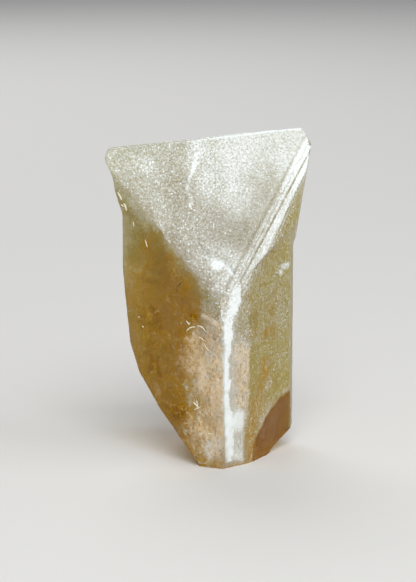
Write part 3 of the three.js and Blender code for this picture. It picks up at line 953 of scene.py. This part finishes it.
def crystal_material(looks):
    """Clear honey gem under a skin of frost, honey and amber, which covers it as the mesh's masks say."""
    bench = Bench("danburite")
    frost, chalk, blush, amber, olive, grain, chip, stripes, rim, rim_stripes = map(bench.mask, MASKS)
    soft = bench.clouds(1.5, 4.0, 0.6)
    wisps = bench.clouds(0.9, 4.0, 0.6, bench.stretched(1, 1, 0.4))
    crumbs = bench.clouds(0.3, 3.0, 0.7)
    spot, speck = bench.grains(0.42)
    fleck, fleck_number = bench.grains(0.27)
    veil = wisps.over(0.5, 0.72)
    mid = bench.clouds(0.8, 3.0, 0.6, bench.stretched(1, 1, 0.5))
    veins = bench.clouds(2.6, 3.0, 0.5).line(0.5, 0.035) * soft.over(0.42, 0.58)
    level_veins = bench.clouds(1.7, 2.0, 0.5, bench.stretched(0.6, 0.6, 1.6)).line(0.47, 0.04)
    veins = veins + level_veins * soft.over(0.55, 0.4)

    bright = spot.over(0.42, 0.15) * speck.over(0.72, 0.9)
    bright = bright + 0.6 * fleck.over(0.4, 0.1) * fleck_number.over(0.8, 0.9)
    dull = fleck.over(0.45, 0.2) * fleck_number.over(0.22, 0.1)
    whiteness = chalk + grain * ((crumbs - 0.5) * 1.15 + bright * 0.4 - dull * 0.4)
    whiteness = whiteness + (amber + blush) * (veil + veins) * 0.15

    # Lines of the band: a soft grey one beside the dome, a dark broken one in its middle, and fine ones
    # outside.
    wander = (soft - 0.5) * 0.3
    middle = bench.between("inner_band", "outer_band") + (crumbs - 0.5) * 0.2
    edge = bench.between("dome", "inner_band") + wander
    broken = soft.over(0.35, 0.55, 0.45, 1.0)
    whiteness = whiteness - stripes * middle.line(0.0, 0.55) * broken * 0.75
    whiteness = whiteness - stripes * (0.3 * edge.line(-0.1, 0.9) + 0.3 * edge.line(0.75, 0.3) * broken)
    ticks = middle.line(0.55, 0.4) * crumbs.over(0.5, 0.62)
    whiteness = whiteness + stripes * (middle.over(0.1, 0.4, 0.0, 0.12) - 0.5 * ticks)
    rim = rim + wander * 0.5
    beside = 0.25 * rim.over(0.0, 1.0, 1, 0) + 0.2 * rim.over(0.4, 3.0, 1, 0)
    for at, width, strength in ((0.25, 0.35, -0.4), (0.6, 0.3, 0.25), (0.9, 0.25, -0.15), (1.3, 0.25, 0.2)):
        beside = beside + strength * rim.line(at, width)
    whiteness = whiteness + rim_stripes * beside

    # The skin's colours, each over the last.
    stir = (soft - 0.5) * 1.4 + (mid - 0.5) * 1.1 + (crumbs - 0.5) * 1.3 - 0.6 * veil - 0.9 * veins
    richness = amber * (1 + stir)
    greenness = olive * (1 - 0.6 * stir)
    pinkness = 0.7 + veil * 0.7 + (crumbs - 0.5) * 1.4 + (mid - 0.5) * 1.9 + (soft - 0.5) * 0.9
    hackle = bench.clouds(0.45, 2.0, 0.7, bench.stretched(1, 1, 0.6))
    coarse = blush.over(0.0, 1.0, 0.08, 0.4) + grain.over(0.9, 1.4, 0.0, 0.17)
    coarse = coarse * soft.over(0.35, 0.6, 0.4, 1.0) * (1 - stripes)
    chip_colour = bench.blend(soft.over(0.3, 0.8, 0.0, 0.4), looks.deep_honey, looks.honey_skin)
    skin_colour = bench.blend(stripes, looks.khaki, looks.slate)
    layers = ((whiteness.over(0.0, 0.5), looks.stone), (whiteness.over(0.45, 1.0), looks.chalk),
              (richness.over(0.0, 0.5), looks.tan_skin), (richness.over(0.3, 0.9), looks.honey_skin),
              (richness.over(0.95, 1.9), looks.amber_skin),
              (greenness.over(0.1, 1.0, 0.0, 0.8), looks.olive_skin),
              ((blush * pinkness).over(0.1, 1.2, 0.0, 0.85), looks.blush),
              (hackle.over(0.52, 0.68) * coarse, looks.chalk),
              (hackle.over(0.48, 0.32) * coarse, looks.amber_skin), (chip, chip_colour))
    for part, colour in layers:
        skin_colour = bench.blend(part, skin_colour, colour)

    bumps = crumbs * 0.6 + bright * 0.5
    rough_normal = bench.node("ShaderNodeBump", {}, Strength=0.5, Distance=0.00012, Height=bumps)[0]
    gem_normal = bench.node("ShaderNodeBump", {}, Strength=0.25, Distance=0.0001, Height=crumbs)[0]

    skin_roughness = frost.over(0.3, 0.9, 0.28, 0.6) * chip.over(0, 1, 1.0, 0.5)
    skin = bench.shader("ShaderNodeBsdfPrincipled", Base_Color=skin_colour, Roughness=skin_roughness,
                        IOR=1.55, Specular_IOR_Level=DULL, Normal=rough_normal)
    glow = bench.shader("ShaderNodeBsdfTranslucent", Color=GLOW_COLOUR, Normal=rough_normal)
    glow_share = whiteness.over(0.1, 1.0, looks.glow, 0.06) * (1 - 0.9 * chip)
    skin = bench.mix(glow_share * amber.over(0.2, 0.9, 1.0, 0.35), skin, glow)
    gem_roughness = frost.over(0.0, 0.7, 0.12, 0.7)
    gem = bench.shader("ShaderNodeBsdfPrincipled", Base_Color=(1, 1, 1), Roughness=gem_roughness,
                       IOR=looks.refraction, Transmission_Weight=1.0, Specular_IOR_Level=2 * DULL,
                       Normal=gem_normal)
    cover = frost + (soft - 0.5) * 0.5 + (wisps - 0.5) * 0.3 + (crumbs - 0.5) * 0.4
    cover = (cover + rim_stripes * rim.over(0.0, 1.2, 0.4, 0)).over(0.0, 0.98)
    cover = cover + chip * (SKIN_OVER_CHIP - cover)
    surface = bench.mix(cover, gem, skin)

    # Lamps shine in through the clear part of the skin.
    clear = bench.shader("ShaderNodeBsdfTransparent", Color=(0.9, 0.9, 0.9))
    shadow_ray = bench.node("ShaderNodeLightPath", {})[1]
    surface = bench.mix(shadow_ray, surface, bench.mix(cover, clear, skin))
    volume = bench.shader("ShaderNodeVolumeAbsorption", Color=looks.honey, Density=looks.honey_strength)
    return bench.finish(surface, volume)


def plain_material(name, colour, roughness):
    """One colour that varies a little from place to place."""
    bench = Bench(name)
    darker = tuple(0.75 * part for part in colour)
    lighter = tuple(min(1.2 * part, 1) for part in colour)
    colour = bench.blend(bench.clouds(0.25, 2.0, 0.5), darker, lighter)
    return bench.finish(bench.shader("ShaderNodeBsdfPrincipled", Base_Color=colour, Roughness=roughness))


# ------------------------------------------------------------------ what a user would change

def colour_setting(name, description, value):
    """A colour that a user can change."""
    return FloatVectorProperty(name=name, description=description, subtype="COLOR", size=3, min=0, max=1,
                               default=value)


class CrystalLooks(bpy.types.PropertyGroup):
    """Colours and finish of the crystal."""
    honey: colour_setting("Honey", "Colour that light keeps on its way through", (0.89, 0.775, 0.0))
    honey_strength: FloatProperty(name="Honey strength", description="How fast light is lost, per metre",
                                  default=340.0, min=0)
    refraction: FloatProperty(name="Refraction", description="Refractive index", default=1.633, min=1,
                              max=2.5)
    glow: FloatProperty(name="Frost glow", description="Share of the light that the frost lets through",
                        default=0.45, min=0, max=1)
    deep_honey: colour_setting("Deep honey", "Colour of the fresh chip by the foot", linear(116, 66, 0))
    khaki: colour_setting("Khaki frost", "Colour of the thinnest frost", linear(174, 170, 100))
    slate: colour_setting("Thin frost on the dome", "Colour of the dome's thinnest frost",
                          linear(161, 164, 148))
    stone: colour_setting("Grey frost", "Colour of frost of middling thickness", linear(192, 195, 185))
    chalk: colour_setting("White frost", "Colour of the thickest frost", linear(228, 234, 233))
    tan_skin: colour_setting("Tan skin", "Colour of the skin where it is a little cloudy",
                             linear(174, 144, 78))
    honey_skin: colour_setting("Golden skin", "Colour of the skin in the honey places", linear(163, 121, 0))
    amber_skin: colour_setting("Amber", "Colour of the skin where it looks deepest", linear(122, 80, 0))
    olive_skin: colour_setting("Olive", "Colour of the greenish places", linear(116, 112, 34))
    blush: colour_setting("Blush", "Colour of the rough patch on the left", linear(228, 202, 160))


class StageLooks(bpy.types.PropertyGroup):
    """Floor, lights and camera."""
    floor: colour_setting("Floor", "Colour of the floor", linear(205, 204, 201))
    key_power: FloatProperty(name="Key light", description="Power of the large light above", default=4.2,
                             min=0, subtype="POWER")
    distance: FloatProperty(name="Camera distance", description="From the camera to the crystal's middle",
                            default=0.38, min=0.1, unit="LENGTH")
    elevation: FloatProperty(name="Camera height", description="Angle that the camera looks down by",
                             default=math.radians(12), subtype="ANGLE")


# ------------------------------------------------------------------ operators

def keep_masks(piece, masks):
    """Writes each mask into the mesh, point by point."""
    for name, values in masks.items():
        attribute = piece.data.attributes.new(name, "FLOAT", "POINT")
        attribute.data.foreach_set("value", values.astype(np.float32))


CREASE = math.radians(24)     # edges sharper than this are shaded as creases


class CRYSTAL_OT_body(bpy.types.Operator):
    """Adds the crystal's worn and frosted surface over its solid"""
    bl_idname = "crystal.body"
    bl_label = "Crystal"

    def execute(self, context):
        net = crystal_net()
        grid = np.concatenate([base_rings(net[0])[::-1], net])
        rows, columns = grid.shape[:2]
        piece, points = mesh_piece("danburite_body", grid.reshape(-1, 3), closed_quads(rows, columns))
        keep_masks(piece, skin_masks(points))
        piece.data.shade_smooth()
        piece.data.set_sharp_from_angle(angle=CREASE)
        piece.data.materials.append(crystal_material(context.scene.crystal_looks))
        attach(piece, BODY)
        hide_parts(NODE)
        return {"FINISHED"}


LUMP_ROWS, LUMP_COLUMNS, LUMP_PASSES = 25, 12, 5


def lump(start, end, width, thick, bend=0.0, ruffle=0.0, seed=0):
    """A squashed ball on the left face from a start to an end, across and up it in millimetres. Round it: the
    half width times the cosine, sideways, and the half thickness times the sine, outwards, both shrinking to
    the ends as a sine. It is bent sideways by a parabola and ruffled by noise."""
    start, end = np.array(start), np.array(end)
    turn = np.linspace(0, 2 * np.pi, LUMP_COLUMNS, endpoint=False)
    pole = np.linspace(0, np.pi, LUMP_ROWS)[:, None]
    ahead = np.broadcast_to(-np.cos(pole), (LUMP_ROWS, LUMP_COLUMNS))
    where = np.stack([ahead * 9 + seed, np.cos(turn) + 0 * ahead, seed + 0 * ahead], axis=-1)
    girth = np.sin(pole) * (1 + ruffle * noise(where.reshape(-1, 3), 1.0, 127).reshape(ahead.shape))
    half = (end - start) / 2
    side = np.array([-half[1], half[0]]) / np.linalg.norm(half)
    sideways = girth * np.cos(turn) * width / 2 + bend * (1 - ahead**2)
    flat = (start + end) / 2 + ahead[..., None] * half + sideways[..., None] * side
    across, upward = face_axes("left")
    spine = HEART + NORMAL["left"] * FACES["left"][2] + flat[..., :1] * across + flat[..., 1:] * upward
    spine = onto_crystal(spine, LUMP_PASSES)
    return spine - (girth * np.sin(turn) * thick / 2)[..., None] * NORMAL["left"]


def add_lumps(name, lumps, material):
    """One mesh object from several squashed balls."""
    grids = [lump(*each, seed=number) for number, each in enumerate(lumps)]
    quads = closed_quads(LUMP_ROWS, LUMP_COLUMNS)
    size = LUMP_ROWS * LUMP_COLUMNS
    piece, _ = mesh_piece(name, np.concatenate([grid.reshape(-1, 3) for grid in grids]),
                          np.concatenate([quads + number * size for number in range(len(grids))]))
    piece.data.shade_smooth()
    piece.data.materials.append(material)
    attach(piece, BODY)


# Each: start and end, across and up the left face, width, thickness, bend and ruffle.
NEEDLE = (((-1.0, 1.95), (0.28, 3.45), 0.1, 0.1, 0.0, 0.3),
          ((-0.75, 1.7), (-0.35, 2.3), 0.08, 0.08, 0.0, 0.3))
# The glints are painted highlights: near-white lumps where the knocks' lips and the scoop's rim catch the
# light.
GLINTS = (((0.8, -2.6), (1.35, -3.1), 0.2, 0.1, 0.05, 0.4),
          ((0.9, -4.2), (2.45, -3.4), 0.2, 0.1, 0.25, 0.4), ((2.6, -3.2), (4.2, -4.0), 0.22, 0.1, 0.3, 0.4),
          ((1.25, -3.2), (1.6, -2.8), 0.14, 0.1, 0.0, 0.4), ((3.0, -4.9), (3.9, -5.4), 0.14, 0.1, 0.1, 0.5),
          ((3.9, -5.7), (4.8, -6.9), 0.14, 0.1, -0.1, 0.5),
          ((2.0, -15.1), (3.1, -15.95), 0.22, 0.1, 0.0, 0.5),
          ((2.2, -16.3), (3.1, -15.8), 0.16, 0.1, 0.0, 0.5),
          ((2.55, -14.6), (2.8, -15.5), 0.14, 0.1, 0.0, 0.5),
          ((4.5, -19.8), (5.1, -19.65), 0.16, 0.1, 0.0, 0.3),
          ((6.85, -14.1), (6.95, -14.5), 0.2, 0.1, 0.0, 0.3),
          ((-6.4, -4.0), (-6.3, -4.3), 0.16, 0.1, 0.0, 0.3),
          ((-7.1, -2.6), (-6.95, -2.8), 0.14, 0.1, 0.0, 0.3),
          ((-7.9, 12.0), (-7.75, 11.2), 0.13, 0.1, 0.0, 0.3),
          ((-5.9, 9.4), (-5.5, 8.2), 0.16, 0.1, 0.0, 0.5),
          ((-10.5, 16.3), (-9.8, 15.1), 0.34, 0.14, 0.0, 0.4),
          ((-9.5, 14.7), (-9.05, 13.5), 0.3, 0.14, 0.1, 0.4),
          ((-9.95, 14.5), (-9.5, 14.1), 0.2, 0.14, 0.0, 0.4))


class CRYSTAL_OT_needle(bpy.types.Operator):
    """Adds the dark needle that lies in the left face"""
    bl_idname = "crystal.needle"
    bl_label = "Needle"

    def execute(self, context):
        add_lumps("dark_needle", NEEDLE, plain_material("needle", linear(42, 36, 12), 0.4))
        return {"FINISHED"}


class CRYSTAL_OT_glints(bpy.types.Operator):
    """Adds the painted glints: near-white lumps on the lips of the small shell-shaped knocks in the left face
    and by the scoop
    """
    bl_idname = "crystal.glints"
    bl_label = "Painted glints"

    def execute(self, context):
        # Near-white paint stands in for the glints' highlights.
        add_lumps("painted_glints", GLINTS, plain_material("glint_paint", linear(236, 230, 204), 0.3))
        return {"FINISHED"}


FLOOR_SPAN = 4.0              # half the floor's width, in metres
LIT_POINT = (0, 0, 0.027)     # where the lamps look to, in metres
# Each lamp: name, place and size in metres, and its share of the key light's power.
LAMPS = (("key", (0.06, -0.45, 0.55), 0.4, 1.0), ("fill", (0.55, -0.2, 0.3), 0.5, 0.45),
         ("back", (-0.15, 0.5, 0.45), 0.5, 0.5))
SKY = (0.9, 0.93, 1.0, 1), 0.22       # colour and strength of the light from all round
LENS = 152.6, 36.0, 0.01              # focal length and sensor width in millimetres, near clip in metres
AIM = (-0.07, 0.36, 25.15)            # where the camera looks to, in millimetres


def add_light(name, place, target, size, power):
    """A soft square light that looks from a place to a target."""
    lamp = bpy.data.lights.new(name, "AREA")
    lamp.shape, lamp.size, lamp.energy = "SQUARE", size, power
    light = bpy.data.objects.new(name, lamp)
    light.location = place
    light.rotation_euler = (Vector(target) - Vector(place)).to_track_quat("-Z", "Y").to_euler()
    bpy.context.scene.collection.objects.link(light)


class CRYSTAL_OT_stage(bpy.types.Operator):
    """Adds the floor, the lights and the camera"""
    bl_idname = "crystal.stage"
    bl_label = "Stage"

    def execute(self, context):
        looks, span = context.scene.crystal_stage, FLOOR_SPAN
        mesh = bpy.data.meshes.new("floor")
        mesh.from_pydata([(-span, -span, 0), (span, -span, 0), (span, span, 0), (-span, span, 0)], [],
                         [(0, 1, 2, 3)])
        floor = bpy.data.objects.new("floor", mesh)
        context.scene.collection.objects.link(floor)
        bench = Bench("floor")
        mesh.materials.append(bench.finish(bench.shader(
            "ShaderNodeBsdfPrincipled", Base_Color=(*looks.floor, 1), Roughness=0.9)))

        for name, place, size, share in LAMPS:
            add_light(name, place, LIT_POINT, size, looks.key_power * share)

        context.scene.view_settings.view_transform = "Standard"
        world = bpy.data.worlds.new("studio")
        context.scene.world = world
        world.use_nodes = True
        sky = world.node_tree.nodes["Background"]
        sky.inputs["Color"].default_value, sky.inputs["Strength"].default_value = SKY

        camera = bpy.data.objects.new("camera", bpy.data.cameras.new("camera"))
        context.scene.collection.objects.link(camera)
        camera.data.lens, camera.data.sensor_width, camera.data.clip_start = LENS
        aim = Vector(AIM) * MM
        back = Vector((0, -math.cos(looks.elevation), math.sin(looks.elevation)))
        camera.location = aim + back * looks.distance
        camera.rotation_euler = (-back).to_track_quat("-Z", "Y").to_euler()
        context.scene.camera = camera
        return {"FINISHED"}


class CRYSTAL_PT_panel(bpy.types.Panel):
    """Lists the crystal's pieces and looks"""
    bl_label = "Danburite Crystal"
    bl_idname = "CRYSTAL_PT_panel"
    bl_space_type = "VIEW_3D"
    bl_region_type = "UI"
    bl_category = "Crystal"

    def draw(self, context):
        for operator in OPERATORS:
            self.layout.operator(operator.bl_idname)
        for group in (context.scene.crystal_looks, context.scene.crystal_stage):
            for name in group.__annotations__:
                self.layout.prop(group, name)


OPERATORS = (CRYSTAL_OT_body, CRYSTAL_OT_needle, CRYSTAL_OT_glints, CRYSTAL_OT_stage)
CLASSES = (CrystalLooks, StageLooks, *OPERATORS, CRYSTAL_PT_panel)


def register():
    """Makes the settings, the operators and the panel known."""
    for item in CLASSES:
        bpy.utils.register_class(item)
    bpy.types.Scene.crystal_looks = PointerProperty(type=CrystalLooks)
    bpy.types.Scene.crystal_stage = PointerProperty(type=StageLooks)


def unregister():
    """Takes them away again."""
    del bpy.types.Scene.crystal_stage
    del bpy.types.Scene.crystal_looks
    for item in reversed(CLASSES):
        bpy.utils.unregister_class(item)


def main():
    """Builds every piece, then the stage."""
    register()
    bpy.ops.crystal.body()
    bpy.ops.crystal.needle()
    bpy.ops.crystal.glints()
    bpy.ops.crystal.stage()


if __name__ == "__main__":
    main()
